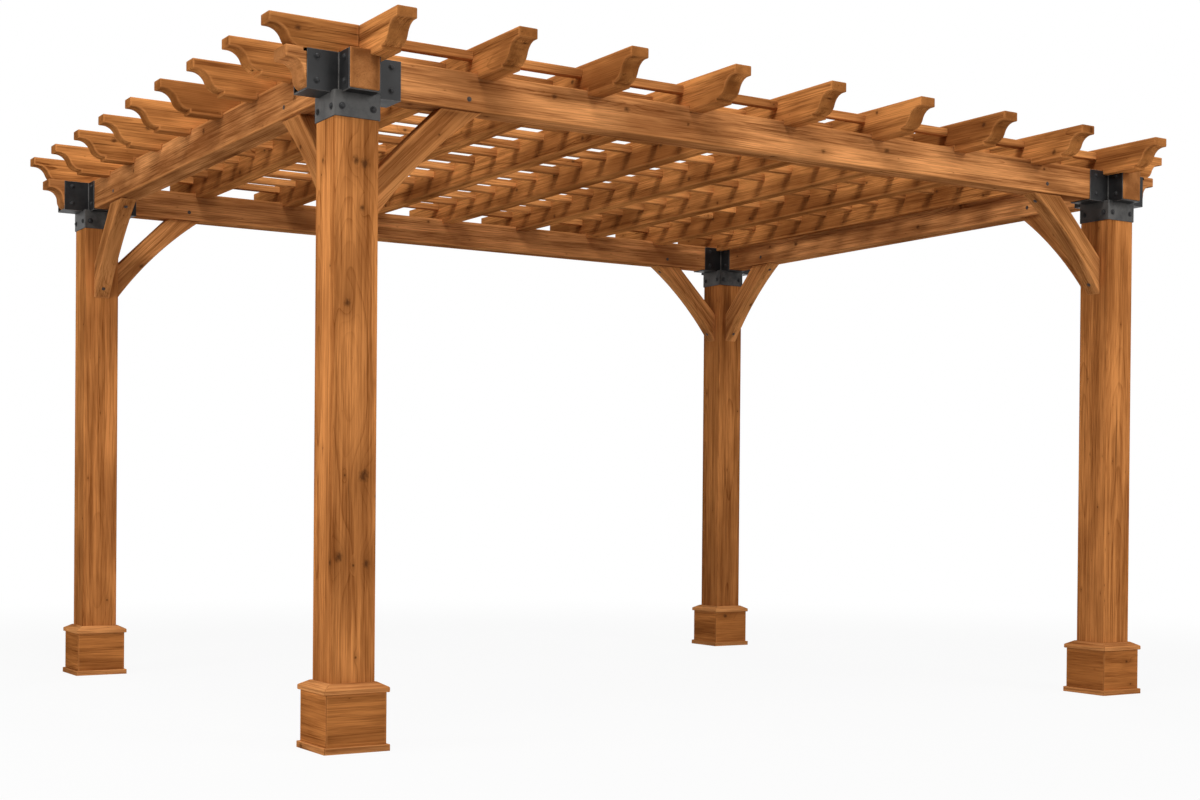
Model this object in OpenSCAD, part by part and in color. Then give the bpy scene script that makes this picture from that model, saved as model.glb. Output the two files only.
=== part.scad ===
// Square timber pergola on four posts.
// The origin is on the ground at the middle of the four posts, +X runs to the right along the
// front, +Y runs to the back and +Z is up.

/* [Posts] */
// Distance between post centres along the front
post_span_x = 3480; // [2400:10:4800]
// Distance between post centres along the sides
post_span_y = 2740; // [2000:10:4200]
// Side of each square post
post_w = 150; // [110:5:180]
// Height from the ground to the underside of the beams
clear_h = 2067; // [1700:1:2600]

/* [Beams] */
// Height of the beams
beam_h = 125; // [100:1:180]
// Thickness of the beams
beam_w = 100; // [70:1:120]
// How far the front and back beams run past the side beams
beam_overhang_x = 180; // [150:1:240]
// How far the side beams run past the front and back beams
beam_overhang_y = 85; // [60:1:120]
// Height of the square tip at each shaped beam end
beam_tip_h = 38; // [25:1:50]
// Length of the flat under the tip of a shaped beam end
beam_lip = 18; // [5:1:30]

/* [Rafters] */
// Number of rafters, which lie from front to back
rafter_count = 9; // [5:1:10]
// Thickness of a rafter
rafter_w = 68; // [45:1:80]
// Height of a rafter
rafter_h = 112; // [95:1:140]
// Depth of the notch where a rafter sits over a beam
rafter_notch = 18; // [8:1:25]
// How far the rafters run past the front and back beams
rafter_overhang = 275; // [180:1:350]
// Distance of the outer rafters from the middle of the side beams
rafter_inset = 50; // [20:1:80]

/* [Side tails] */
// Number of tails on each side
tail_count = 9; // [5:1:11]
// How far the tails run past the side beams
tail_overhang = 235; // [180:1:300]

/* [Shaped ends] */
// Height of the square tip of a rafter or a tail
tip_h = 34; // [20:1:45]
// Length of the flat under the tip
lip_l = 16; // [5:1:30]
// Length of the S curve under a rafter or a tail
curve_run = 94; // [80:1:110]
// Height of the small step where the S curve meets the underside
step_h = 12; // [4:1:18]

/* [Slats] */
// Number of slat rows from front to back
slat_rows = 15; // [9:1:19]
// Height of a slat
slat_h = 30; // [18:1:45]
// Width of a slat
slat_w = 32; // [18:1:50]
// Distance of the slats' top face below the rafters' top face
slat_drop = 14; // [0:1:30]

/* [Knee braces] */
// Thickness of a knee brace
brace_w = 70; // [40:1:90]
// Distance from the corner to the near end of each brace foot
brace_inner_leg = 240; // [180:1:300]
// Distance from the corner to the far end of each brace foot
brace_outer_leg = 390; // [340:1:480]
// Depth of the hollow curve along a brace's lower edge
brace_hollow = 24; // [5:1:40]

/* [Post bases] */
// Thickness of the boards boxed round the foot of a post
box_wall = 28; // [18:1:40]
// Height of the boxed boards
box_h = 185; // [120:1:300]
// Thickness of the trim round the bottom of a box
trim_t = 9; // [5:1:20]
// Height of the trim
trim_h = 21; // [10:1:60]
// How far the base cap stands out past the box
base_cap_lip = 8; // [3:1:20]
// Height of the base cap's upright edge
base_cap_edge = 16; // [8:1:30]
// Height of the base cap's slope
base_cap_slope = 16; // [5:1:30]
// Width of the base cap's level top beside the post
base_cap_flat = 6; // [2:1:15]

/* [Steel post caps] */
// Thickness of the skirt and of the angles
steel_t = 4; // [3:1:8]
// Thickness of the seat plate under the beams
plate_t = 5; // [4:1:10]
// Height of the skirt round the top of a post
skirt_h = 76; // [50:1:120]
// Length of the angle legs along the front and back beams
leg_x = 110; // [60:1:140]
// Length of the angle legs along the side beams
leg_y = 80; // [50:1:110]
// How far the angles stop short of the top of the beams
leg_stop = 3; // [1:1:20]

/* [Hidden] */
corner_x = post_span_x / 2;
corner_y = post_span_y / 2;
post_h = clear_h - plate_t;
beam_top = clear_h + beam_h;
beam_mid = clear_h + beam_h / 2;
side_x = corner_x + beam_w / 2;
side_y = corner_y + beam_w / 2;
beam_end_x = side_x + beam_overhang_x;
beam_end_y = side_y + beam_overhang_y;
rafter_low = beam_top - rafter_notch;
rafter_top = rafter_low + rafter_h;
rafter_end = side_y + rafter_overhang;
rafter_reach = corner_x - rafter_inset;
rafter_pitch = 2 * rafter_reach / (rafter_count - 1);
tail_end = side_x + tail_overhang;
tail_root = rafter_reach + rafter_w / 2;
tail_reach = side_y - rafter_w / 2;
tail_pitch = 2 * tail_reach / (tail_count - 1);
slat_pitch = post_span_y / (slat_rows - 1);
slat_len = rafter_pitch - rafter_w;
slat_low = rafter_top - slat_drop - slat_h;
box_w = post_w + 2 * box_wall;
base_cap_w = box_w + 2 * base_cap_lip;
base_cap_top_w = post_w + 2 * base_cap_flat;
skirt_w = post_w + 2 * steel_t;
bracket_gap = 1;
curve_steps = 8;
arc_facets = 360;
over = 10;

cedar = [0.66, 0.40, 0.22];
cedar_dark = [0.56, 0.33, 0.17];
cedar_light = [0.72, 0.46, 0.27];
steel = [0.16, 0.16, 0.17];

// Each corner's name along the front and back, its name along the sides, and its sides in X and Y.
CORNERS = [
    ["front_left", "left_front", -1, -1],
    ["front_right", "right_front", 1, -1],
    ["back_left", "left_back", -1, 1],
    ["back_right", "right_back", 1, 1]
];
// Each long and each side name with its side.
ENDS = [["front", -1], ["back", 1]];
SIDES = [["left", -1], ["right", 1]];
// The slats are grouped in four quarters of the bays.
QUARTERS = [1, 2, 3, 4];

// Puts a child on the corner on side sx (-1 left, 1 right) and sy (-1 front, 1 back).
module at_corner(sx, sy) {
    translate([sx * corner_x, sy * corner_y, 0]) children();
}

// A box centred in X and Y that stands on z = 0.
module block(x, y, z) {
    translate([-x / 2, -y / 2, 0]) cube([x, y, z]);
}

// A square ring that stands on z = 0.
module square_ring(outer, inner, h) {
    difference() {
        block(outer, outer, h);
        translate([0, 0, -over]) block(inner, inner, h + 2 * over);
    }
}

// Points of an S curve from [x, z] that falls by drop over run: two equal arcs, level at both ends.
function s_curve(x, z, run, drop) =
    let (r = (run * run + drop * drop) / (4 * drop), turn = 2 * atan(drop / run))
    concat(
        [for (i = [0 : curve_steps])
            let (a = turn * i / curve_steps)
            [x + r * sin(a), z - r + r * cos(a)]],
        [for (i = [curve_steps - 1 : -1 : 0])
            let (a = turn * i / curve_steps)
            [x + run - r * sin(a), z - drop + r - r * cos(a)]]
    );

// Mirrors the outline of one shaped end to the other end of a timber of the given half length.
function both_ends(half, low_points) =
    concat(
        [for (p = low_points) [p[0] - half, p[1]]],
        [for (i = [len(low_points) - 1 : -1 : 0]) [half - low_points[i][0], low_points[i][1]]]
    );

// The outline of a shaped end, from its top corner round to the underside. x counts from the tip.
function tail_outline() =
    let (tip_low = rafter_top - tip_h, drop = rafter_h - tip_h - step_h)
    concat(
        [[0, rafter_top], [0, tip_low]],
        s_curve(lip_l, tip_low, curve_run, drop),
        [[lip_l + curve_run, rafter_low]]
    );

// The same for the front and back beams, which have quarter circles and no step.
function beam_outline() =
    let (tip_low = beam_top - beam_tip_h, drop = beam_h - beam_tip_h)
    concat(
        [[0, beam_top], [0, tip_low]],
        s_curve(beam_lip, tip_low, drop, drop)
    );

// An outline in X and Z made into a plate of the given thickness, centred on Y = 0.
module plate_along_x(points, thick) {
    rotate([90, 0, 0])
        translate([0, 0, -thick / 2])
            linear_extrude(thick) polygon(points);
}

// The same with the outline in Y and Z, centred on X = 0.
module plate_along_y(points, thick) {
    rotate([0, 0, 90]) plate_along_x(points, thick);
}

// The space that the four beams take up, as plain bars with no shaped ends.
module beam_space() {
    for (s = [-1, 1]) {
        translate([0, s * corner_y, clear_h]) block(2 * beam_end_x, beam_w, beam_h);
        translate([s * corner_x, 0, clear_h]) block(beam_w, 2 * beam_end_y, beam_h);
    }
}

// One upright angle in the quadrant on side qx, qy of a corner, grown by extra all round.
module corner_angle(qx, qy, extra) {
    leg_t = steel_t + 2 * extra;
    near = beam_w / 2 - extra;
    z0 = clear_h - extra;
    h = beam_h - leg_stop + 2 * extra;
    scale_x = leg_x + 2 * extra;
    scale_y = leg_y + 2 * extra;
    x0 = qx > 0 ? near : -near - scale_x;
    y0 = qy > 0 ? near : -near - leg_t;
    x1 = qx > 0 ? near : -near - leg_t;
    y1 = qy > 0 ? near : -near - scale_y;
    translate([x0, y0, z0]) cube([scale_x, leg_t, h]);
    translate([x1, y1, z0]) cube([leg_t, scale_y, h]);
}

// The space that all the upright angles need inside the outer rafters.
module angle_space() {
    for (sx = [-1, 1], sy = [-1, 1], qx = [-1, 1], qy = [-1, 1])
        at_corner(sx, sy) corner_angle(qx, qy, bracket_gap);
}

// A square post from the ground to the seat plate.
module post(sx, sy) {
    color(cedar) at_corner(sx, sy) block(post_w, post_w, post_h);
}

// Boards boxed round the foot of a post.
module base_box(sx, sy) {
    color(cedar_dark) at_corner(sx, sy) square_ring(box_w, post_w, box_h);
}

// Sloped cap that closes the box against the post, mitred at its corners.
module base_cap(sx, sy) {
    profile = [
        [-base_cap_w / 2, 0],
        [base_cap_w / 2, 0],
        [base_cap_w / 2, base_cap_edge],
        [base_cap_top_w / 2, base_cap_edge + base_cap_slope],
        [-base_cap_top_w / 2, base_cap_edge + base_cap_slope],
        [-base_cap_w / 2, base_cap_edge]
    ];
    color(cedar_light) at_corner(sx, sy) translate([0, 0, box_h])
        difference() {
            intersection() {
                plate_along_x(profile, base_cap_w);
                plate_along_y(profile, base_cap_w);
            }
            translate([0, 0, -over]) block(post_w, post_w, 3 * over + base_cap_edge + base_cap_slope);
        }
}

// Trim round the bottom of all four boxes.
module base_trims() {
    color(cedar_dark)
        for (sx = [-1, 1], sy = [-1, 1])
            at_corner(sx, sy) square_ring(box_w + 2 * trim_t, box_w, trim_h);
}

// Welded steel cap: a skirt round the post, a cross-shaped seat plate and four upright angles.
module steel_cap(sx, sy) {
    arm_x = beam_w + 2 * leg_x;
    arm_y = beam_w + 2 * leg_y;
    color(steel) at_corner(sx, sy) union() {
        translate([0, 0, post_h - skirt_h]) square_ring(skirt_w, post_w, skirt_h + plate_t);
        translate([0, 0, post_h]) block(skirt_w, skirt_w, plate_t);
        translate([0, 0, post_h]) block(arm_x, beam_w, plate_t);
        translate([0, 0, post_h]) block(beam_w, arm_y, plate_t);
        translate([0, 0, post_h])
            for (qx = [-1, 1], qy = [-1, 1])
                cap_angle(qx, qy);
    }
}

// One upright angle with its feet down on the level of the seat plate's underside.
module cap_angle(qx, qy) {
    translate([0, 0, plate_t - clear_h]) corner_angle(qx, qy, 0);
    x0 = qx > 0 ? beam_w / 2 : -beam_w / 2 - leg_x;
    y0 = qy > 0 ? beam_w / 2 : -beam_w / 2 - steel_t;
    x1 = qx > 0 ? beam_w / 2 : -beam_w / 2 - steel_t;
    y1 = qy > 0 ? beam_w / 2 : -beam_w / 2 - leg_y;
    translate([x0, y0, 0]) cube([leg_x, steel_t, plate_t]);
    translate([x1, y1, 0]) cube([steel_t, leg_y, plate_t]);
}

// Front or back beam, with shaped ends, halved from above where the side beams cross it.
module long_beam(sy) {
    color(cedar) translate([0, sy * corner_y, 0])
        difference() {
            plate_along_x(both_ends(beam_end_x, beam_outline()), beam_w);
            for (sx = [-1, 1])
                translate([sx * corner_x, 0, beam_mid]) block(beam_w, 2 * beam_w, beam_h);
        }
}

// Left or right beam, with square ends, halved from below over the front and back beams.
module side_beam(sx) {
    color(cedar) translate([sx * corner_x, 0, 0])
        difference() {
            translate([0, 0, clear_h]) block(beam_w, 2 * beam_end_y, beam_h);
            for (sy = [-1, 1])
                translate([0, sy * corner_y, beam_mid - beam_h]) block(2 * beam_w, beam_w, beam_h);
        }
}

// Knee brace in the corner of X = 0 and Z = 0, towards +X and -Z, with a hollow lower edge.
module brace() {
    chord = brace_outer_leg * sqrt(2);
    radius = (chord * chord / 4 + brace_hollow * brace_hollow) / (2 * brace_hollow);
    centre = brace_outer_leg / 2 + (radius - brace_hollow) / sqrt(2);
    color(cedar_light) rotate([90, 0, 0]) translate([0, 0, -brace_w / 2])
        linear_extrude(brace_w)
            difference() {
                polygon([
                    [brace_inner_leg, 0],
                    [brace_outer_leg, 0],
                    [0, -brace_outer_leg],
                    [0, -brace_inner_leg]
                ]);
                translate([centre, -centre]) circle(r = radius, $fn = arc_facets);
            }
}

// Brace from the corner post on side sx, sy under the front or back beam.
module long_brace(sx, sy) {
    translate([sx * (corner_x - post_w / 2), sy * corner_y, clear_h])
        rotate([0, 0, sx > 0 ? 180 : 0]) brace();
}

// Brace from the corner post on side sx, sy under the left or right beam.
module side_brace(sx, sy) {
    translate([sx * corner_x, sy * (corner_y - post_w / 2), clear_h])
        rotate([0, 0, sy > 0 ? -90 : 90]) brace();
}

// Rafter number i from the left, notched over the beams and cut clear of the steel angles.
module rafter(i) {
    color(cedar) difference() {
        translate([-rafter_reach + (i - 1) * rafter_pitch, 0, 0])
            plate_along_y(both_ends(rafter_end, tail_outline()), rafter_w);
        beam_space();
        if (i == 1 || i == rafter_count) angle_space();
    }
}

// Short tails along one side, from the outer rafter out over the side beam.
module tails(sx) {
    outline = tail_outline();
    points = concat(
        [for (p = outline) [p[0] - tail_end, p[1]]],
        [[-tail_root, rafter_low], [-tail_root, rafter_top]]
    );
    color(cedar) difference() {
        for (i = [0 : tail_count - 1])
            translate([0, -tail_reach + i * tail_pitch, 0])
                rotate([0, 0, sx > 0 ? 180 : 0]) plate_along_x(points, rafter_w);
        beam_space();
    }
}

// Slats in one bay, counted from the left, fitted between two rafters.
module slat_bay(bay) {
    x = -rafter_reach + (bay - 0.5) * rafter_pitch;
    for (row = [0 : slat_rows - 1])
        translate([x, -corner_y + row * slat_pitch, slat_low]) block(slat_len, slat_w, slat_h);
}

// Slats of one quarter of the bays, from the left.
module slats(quarter) {
    bays = rafter_count - 1;
    first = ceil((quarter - 1) * bays / 4) + 1;
    last = ceil(quarter * bays / 4);
    color(cedar_light)
        for (bay = [first : last])
            slat_bay(bay);
}

for (c = CORNERS) {
    post(c[2], c[3]);
    base_box(c[2], c[3]);
    base_cap(c[2], c[3]);
    steel_cap(c[2], c[3]);
    long_brace(c[2], c[3]);
    side_brace(c[2], c[3]);
}
for (e = ENDS)
    long_beam(e[1]);
for (s = SIDES) {
    side_beam(s[1]);
    tails(s[1]);
}
for (i = [1 : rafter_count])
    rafter(i);
for (q = QUARTERS)
    slats(q);
base_trims();
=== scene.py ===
import bpy
import numpy as np
from mathutils import Matrix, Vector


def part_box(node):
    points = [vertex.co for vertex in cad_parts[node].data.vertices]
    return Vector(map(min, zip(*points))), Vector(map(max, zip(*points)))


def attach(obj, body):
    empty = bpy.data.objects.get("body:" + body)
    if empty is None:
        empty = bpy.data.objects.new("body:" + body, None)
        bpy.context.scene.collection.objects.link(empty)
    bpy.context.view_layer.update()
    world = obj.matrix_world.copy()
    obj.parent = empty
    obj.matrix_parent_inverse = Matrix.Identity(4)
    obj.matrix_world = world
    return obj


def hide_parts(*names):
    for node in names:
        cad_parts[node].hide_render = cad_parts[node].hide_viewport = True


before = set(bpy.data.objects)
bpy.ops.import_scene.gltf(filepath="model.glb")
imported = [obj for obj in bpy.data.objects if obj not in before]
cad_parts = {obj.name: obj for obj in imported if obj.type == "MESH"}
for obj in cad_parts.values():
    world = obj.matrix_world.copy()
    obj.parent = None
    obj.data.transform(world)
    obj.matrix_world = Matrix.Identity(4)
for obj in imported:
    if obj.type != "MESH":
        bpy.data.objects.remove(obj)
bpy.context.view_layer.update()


# ---------------------------------------------------------------- Posts
# Four square cedar posts, each glued up from two thick boards, planed and brushed with a warm
# brown stain. Their arrises are eased by hand, and a fine groove shows the glue line on the
# left and right faces. They stand on the ground inside the boxed bases.

post_arris = 0.006
glue_line = -0.004
groove_half = 0.0009
groove_depth = 0.0016
post_pith_off = 0.045
post_light = (209, 137, 76)
post_dark = (122, 67, 28)
cloud_brown = (106, 56, 23)
halo_brown = (100, 54, 22)
knot_brown = (66, 38, 21)
check_brown = (58, 32, 15)
# Lighter brown for the rounded arrises: partly rubbed stain, partly a painted highlight.
worn_edge_and_highlight_brown = (212, 142, 82)
end_brown = (92, 48, 17)
draw = np.random.default_rng(41)


def unit(vectors):
    """Each vector over its own length."""
    return vectors / np.linalg.norm(vectors, axis=-1, keepdims=True)


def soften(points, radius, band=0.007, steps=3):
    """Rounds the corners of an outline, each by its own radius.
    A corner P between edge directions a and b becomes P - (1 - s)^2 t a + s^2 t b, for s from 0 to 1
    and t the radius, with one more point a band before and after it. Neither reaches more than 0.45 of
    its edge. A point with radius 0 stays. Gives the outline and its wear, 1 on the rounded corners."""
    step = np.roll(points, -1, 0) - points
    length = np.linalg.norm(step, axis=-1)
    room = 0.45 * np.minimum(length, np.roll(length, 1))
    curve = np.minimum(radius, 0.6 * room)[:, None]
    flat = np.minimum(radius + band, room)[:, None]
    after = unit(step)[:, None]
    before = np.roll(after, 1, 0)
    s = np.linspace(0, 1, steps + 1)
    none = np.zeros_like(curve)
    back = np.concatenate([flat, curve * (1 - s) ** 2, none], 1)
    ahead = np.concatenate([none, curve * s ** 2, flat], 1)
    grid = points[:, None] - back[..., None] * before + ahead[..., None] * after
    worn = np.ones(grid.shape[:2])
    worn[:, [0, -1]] = 0
    still = radius == 0
    grid[still] = points[still][:, None]
    worn[still] = 0
    keep = ~still[:, None] | (np.arange(steps + 3) == 0)
    return grid[keep], worn[keep]


def inward(outline):
    """Mitred inset directions of a counter-clockwise outline: the sum of the normals of both edges
    at a point, over one plus their dot product."""
    edge = unit(np.roll(outline, -1, 0) - outline)
    normal = np.stack([-edge[:, 1], edge[:, 0]], -1)
    other = np.roll(normal, 1, 0)
    return (normal + other) / (1 + np.sum(normal * other, -1, keepdims=True))


def closed(rings, wear):
    """The points, faces and wear of a solid whose rings of equal length lie one after the other, with
    a flat face at each end."""
    k, n = rings.shape[:2]
    i = np.arange(n)
    j = (i + 1) % n
    row = np.arange(k - 1)[:, None] * n
    quads = np.stack([row + i, row + j, row + n + j, row + n + i], -1).reshape(-1, 4)
    ends = [i[::-1].tolist(), (i + (k - 1) * n).tolist()]
    return rings.reshape(-1, 3), quads.tolist() + ends, wear.ravel()


def carried(points, radius, half, ease, band=0.007, steps=3):
    """A closed solid: a sharp outline carried from -half to half, with its corners and rims rounded.
    For q from 0 to 90 degrees, a ring lies at half - ease (1 - cos q) and is set in by ease (1 - sin q),
    which leaves each corner that much less radius. One flat ring inside the rim and one below it bound
    the band where the arris is worn."""
    least_round = 0.0004
    points = np.array(points, float)
    radius = np.array(radius, float)
    if ease:
        q = np.linspace(0, np.pi / 2, steps + 1)
        inset = np.concatenate([[ease + band], ease * (1 - np.sin(q)), [0]])
        depth = np.concatenate([[half], half - ease * (1 - np.cos(q)), [half - ease - band]])
        rim = np.concatenate([[0], np.ones(steps + 1), [0]])
    else:
        inset = np.zeros(1)
        depth = np.array([half])
        rim = np.zeros(1)
    least = least_round * (radius > 0)
    layers = [soften(points + d * inward(points), np.maximum(radius - d, least), band, steps)
              for d in inset]
    ring, worn = map(np.array, zip(*layers))
    height = np.broadcast_to(depth[:, None, None], ring.shape[:2] + (1,))
    wear = np.maximum(rim[:, None], worn)
    wear[0] = 0
    low_end = np.concatenate([ring, -height], -1)
    high_end = np.concatenate([ring, height], -1)[::-1]
    return closed(np.concatenate([low_end, high_end]), np.concatenate([wear, wear[::-1]]))


def placed(solid, u, v, origin):
    """Puts a solid in its place: its local axes become u, v and their cross product."""
    local, faces, wear = solid
    axes = np.array([u, v, np.cross(u, v)], float)
    points = local @ axes + np.array(origin, float)
    return {"points": points, "faces": faces, "wear": wear,
            "figure": points, "tree": axes, "tone": 0.5}


def timber(solid, u, v, origin, along, pith=None):
    """A placed solid with the figure of its own piece of tree.
    The figure's own axes run along the grain, across it and up, and start from a pith 50 to 120 mm
    off the middle, at a shift along the tree of its own."""
    piece = placed(solid, u, v, origin)
    axes = np.array([u, v, np.cross(u, v)], float)
    along = unit(np.array(along, float))
    across = axes[2] if abs(along @ axes[2]) < 0.5 else axes[0]
    tree = np.array([along, across, np.cross(along, across)])
    turn = draw.uniform(0, 2 * np.pi)
    off = draw.uniform(0.05, 0.12)
    shift = draw.uniform(0, 40)
    tone = draw.uniform(0, 1)
    if pith is not None:
        turn, off = pith
    start = np.array([shift, off * np.cos(turn), off * np.sin(turn)])
    middle = (piece["points"].min(0) + piece["points"].max(0)) / 2
    piece["figure"] = (piece["points"] - middle) @ tree.T + start
    piece["tree"] = tree
    piece["tone"] = tone
    return piece


def mesh_of(name, solids, material):
    """One mesh of several solids, with each point's figure, wear and tone, and each face's cut, which
    is the way it faces along its timber, across it and up."""
    sizes = np.array([len(s["points"]) for s in solids])
    first = np.concatenate([[0], np.cumsum(sizes)[:-1]])
    faces = [[p + int(f) for p in face] for f, s in zip(first, solids) for face in s["faces"]]
    mesh = bpy.data.meshes.new(name)
    mesh.from_pydata(np.concatenate([s["points"] for s in solids]), [], faces)
    mesh.update()
    figure = mesh.attributes.new("figure", "FLOAT_VECTOR", "POINT")
    figure.data.foreach_set("vector", np.concatenate([s["figure"] for s in solids]).ravel())
    wear = mesh.attributes.new("wear", "FLOAT", "POINT")
    wear.data.foreach_set("value", np.concatenate([s["wear"] for s in solids]))
    tone = mesh.attributes.new("tone", "FLOAT", "POINT")
    tone.data.foreach_set("value", np.repeat([s["tone"] for s in solids], sizes))
    normal = np.zeros(len(faces) * 3)
    mesh.polygons.foreach_get("normal", normal)
    tree = np.repeat([s["tree"] for s in solids], [len(s["faces"]) for s in solids], axis=0)
    cut = mesh.attributes.new("cut", "FLOAT_VECTOR", "FACE")
    cut.data.foreach_set("vector", np.einsum("fij,fj->fi", tree, normal.reshape(-1, 3)).ravel())
    mesh.materials.append(material)
    return mesh


def fit(name, solids, material, slot, *nodes):
    """A finished piece, which stands for the named parts of the frame where it has any."""
    piece = bpy.data.objects.new(name, mesh_of(name, solids, material))
    bpy.context.collection.objects.link(piece)
    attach(piece, "root")
    if nodes:
        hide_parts(*nodes)


def colour(red, green, blue):
    """A paint colour from its 0 to 255 values, as a linear colour."""
    share = np.array([red, green, blue]) / 255
    linear = np.where(share > 0.04045, ((share + 0.055) / 1.055) ** 2.4, share / 12.92)
    return (*linear.tolist(), 1.0)


def add(tree, kind, feeds, **settings):
    """A shader node with its settings, fed by other sockets or by plain values."""
    made = tree.nodes.new(kind)
    for key, value in settings.items():
        setattr(made, key, value)
    for socket, source in feeds.items():
        if isinstance(source, bpy.types.NodeSocket):
            tree.links.new(source, made.inputs[socket])
        else:
            made.inputs[socket].default_value = source
    return made


def sum_of(tree, operation, *values, clamp=False):
    """One step of arithmetic on numbers."""
    feeds = dict(enumerate(values))
    return add(tree, "ShaderNodeMath", feeds, operation=operation, use_clamp=clamp).outputs[0]


def vector_of(tree, operation, *values):
    """The outputs of one step of arithmetic on vectors."""
    feeds = dict(enumerate(values))
    return add(tree, "ShaderNodeVectorMath", feeds, operation=operation).outputs


def ramp(tree, value, low, high, to_low=0.0, to_high=1.0):
    """Goes smoothly from to_low to to_high as the value goes from low to high."""
    feeds = {0: value, 1: low, 2: high, 3: to_low, 4: to_high}
    return add(tree, "ShaderNodeMapRange", feeds, interpolation_type="SMOOTHSTEP").outputs[0]


def mixed(tree, share, one, other, mode="MIX"):
    """Two colours mixed, with the share of the other."""
    feeds = {0: share, 6: one, 7: other}
    return add(tree, "ShaderNodeMix", feeds, data_type="RGBA", blend_type=mode).outputs[2]


def noise(tree, place, stretch, detail=2.0, rough=0.5):
    """Noise with its own count of waves per metre along, across and up the timber."""
    stretched = vector_of(tree, "MULTIPLY", place, stretch)[0]
    feeds = {"Vector": stretched, "Scale": 1.0, "Detail": detail, "Roughness": rough}
    return add(tree, "ShaderNodeTexNoise", feeds).outputs[0]


def group(name, inputs, outputs):
    """An empty shader group with named inputs and outputs."""
    tree = bpy.data.node_groups.new(name, "ShaderNodeTree")
    for label, kind in inputs.items():
        tree.interface.new_socket(label, in_out="INPUT", socket_type=kind)
    for label, kind in outputs.items():
        tree.interface.new_socket(label, in_out="OUTPUT", socket_type=kind)
    return tree, tree.nodes.new("NodeGroupInput"), tree.nodes.new("NodeGroupOutput")


def cedar_figure():
    """What shows on any cut through a cedar log.
    Rings are a saw wave of the distance from a pith that wanders and tapers along the log. Knots are
    branches cut square, one in some cells of a grid along and across each face, and they lift the
    rings round them. Streaks, checks and fibres are noise drawn out along the grain."""
    cells = (3.4, 11.0)
    least_knot = 0.0010
    widest_knot = 0.0105
    chosen_knot = 0.011
    halo_fade = -0.14
    wander_by = 0.110
    ripple_by = 0.010
    taper = 0.007
    late_power = 5.0
    tree, given, out = group(
        "cedar figure",
        {"Figure": "NodeSocketVector", "Cut": "NodeSocketVector", "Spacing": "NodeSocketFloat",
         "Knots": "NodeSocketFloat", "Chosen": "NodeSocketFloat", "Chosen Flow": "NodeSocketFloat"},
        {"Ring": "NodeSocketFloat", "Streak": "NodeSocketFloat", "Fibre": "NodeSocketFloat",
         "Check": "NodeSocketFloat", "Knot": "NodeSocketFloat", "Halo": "NodeSocketFloat"},
    )
    place = given.outputs["Figure"]
    along, across, up = add(tree, "ShaderNodeSeparateXYZ", {0: place}).outputs
    faced = add(tree, "ShaderNodeSeparateXYZ", {0: given.outputs["Cut"]}).outputs
    side = faced[1]
    top = faced[2]
    wander = noise(tree, place, (0.7, 2.0, 2.0), 1.0)
    ripple = noise(tree, place, (1.7, 12.0, 12.0), 2.0)
    square = sum_of(tree, "MULTIPLY_ADD", across, across, sum_of(tree, "MULTIPLY", up, up))
    radius = sum_of(tree, "SQRT", square)

    is_side = sum_of(tree, "GREATER_THAN", sum_of(tree, "ABSOLUTE", side),
                     sum_of(tree, "ABSOLUTE", top))
    level = add(tree, "ShaderNodeMix", {0: is_side, 2: across, 3: up}).outputs[0]
    own = sum_of(tree, "MULTIPLY_ADD", side, 5.3, sum_of(tree, "MULTIPLY", top, 9.1))
    tall = sum_of(tree, "MULTIPLY_ADD", along, cells[0], own)
    wide = sum_of(tree, "MULTIPLY", level, cells[1])
    spot = add(tree, "ShaderNodeCombineXYZ", {0: tall, 1: wide}).outputs[0]
    cell = add(tree, "ShaderNodeTexVoronoi", {"Vector": spot, "Scale": 1.0}, voronoi_dimensions="2D")
    heart = add(tree, "ShaderNodeSeparateXYZ", {0: cell.outputs["Position"]}).outputs
    rise = sum_of(tree, "DIVIDE", sum_of(tree, "SUBTRACT", tall, heart[0]), cells[0] * 1.2)
    swing = sum_of(tree, "DIVIDE", sum_of(tree, "SUBTRACT", wide, heart[1]), cells[1])
    swing = sum_of(tree, "MULTIPLY", swing, swing)
    gap = sum_of(tree, "SQRT", sum_of(tree, "MULTIPLY_ADD", rise, rise, swing))
    eddy = sum_of(tree, "MULTIPLY", rise, 0.45)
    eddy = sum_of(tree, "SQRT", sum_of(tree, "MULTIPLY_ADD", eddy, eddy, swing))
    chance = add(tree, "ShaderNodeSeparateColor", {0: cell.outputs["Color"]}).outputs
    size = ramp(tree, chance[0], 0.50, 1.0, least_knot, widest_knot)
    size = sum_of(tree, "MULTIPLY", size, given.outputs["Knots"])
    reach = sum_of(tree, "DIVIDE", gap, size)
    flow = sum_of(tree, "DIVIDE", eddy, size)
    is_chosen = sum_of(tree, "LESS_THAN", given.outputs["Chosen"], reach)
    size = add(tree, "ShaderNodeMix", {0: is_chosen, 2: size, 3: chosen_knot}).outputs[0]
    reach = sum_of(tree, "MINIMUM", reach, given.outputs["Chosen"])
    flow = sum_of(tree, "MINIMUM", flow, given.outputs["Chosen Flow"])
    ragged = noise(tree, place, (70.0, 130.0, 130.0), 2.0)
    edge = sum_of(tree, "MULTIPLY_ADD", ragged, 1.9, sum_of(tree, "SUBTRACT", reach, 0.95))
    eye = ramp(tree, edge, 0.40, 0.90, 1.0, 0.0)
    rings = sum_of(tree, "COSINE", sum_of(tree, "MULTIPLY", edge, 9.0))
    bark = sum_of(tree, "MULTIPLY_ADD", rings, 0.20, 0.58)
    bark = sum_of(tree, "MULTIPLY", bark, ramp(tree, edge, 0.9, 1.6, 1.0, 0.0))
    tree.links.new(sum_of(tree, "MAXIMUM", eye, bark), out.inputs["Knot"])
    far = sum_of(tree, "MULTIPLY", flow, flow)
    halo = sum_of(tree, "EXPONENT", sum_of(tree, "MULTIPLY", far, halo_fade))
    tree.links.new(halo, out.inputs["Halo"])

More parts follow.
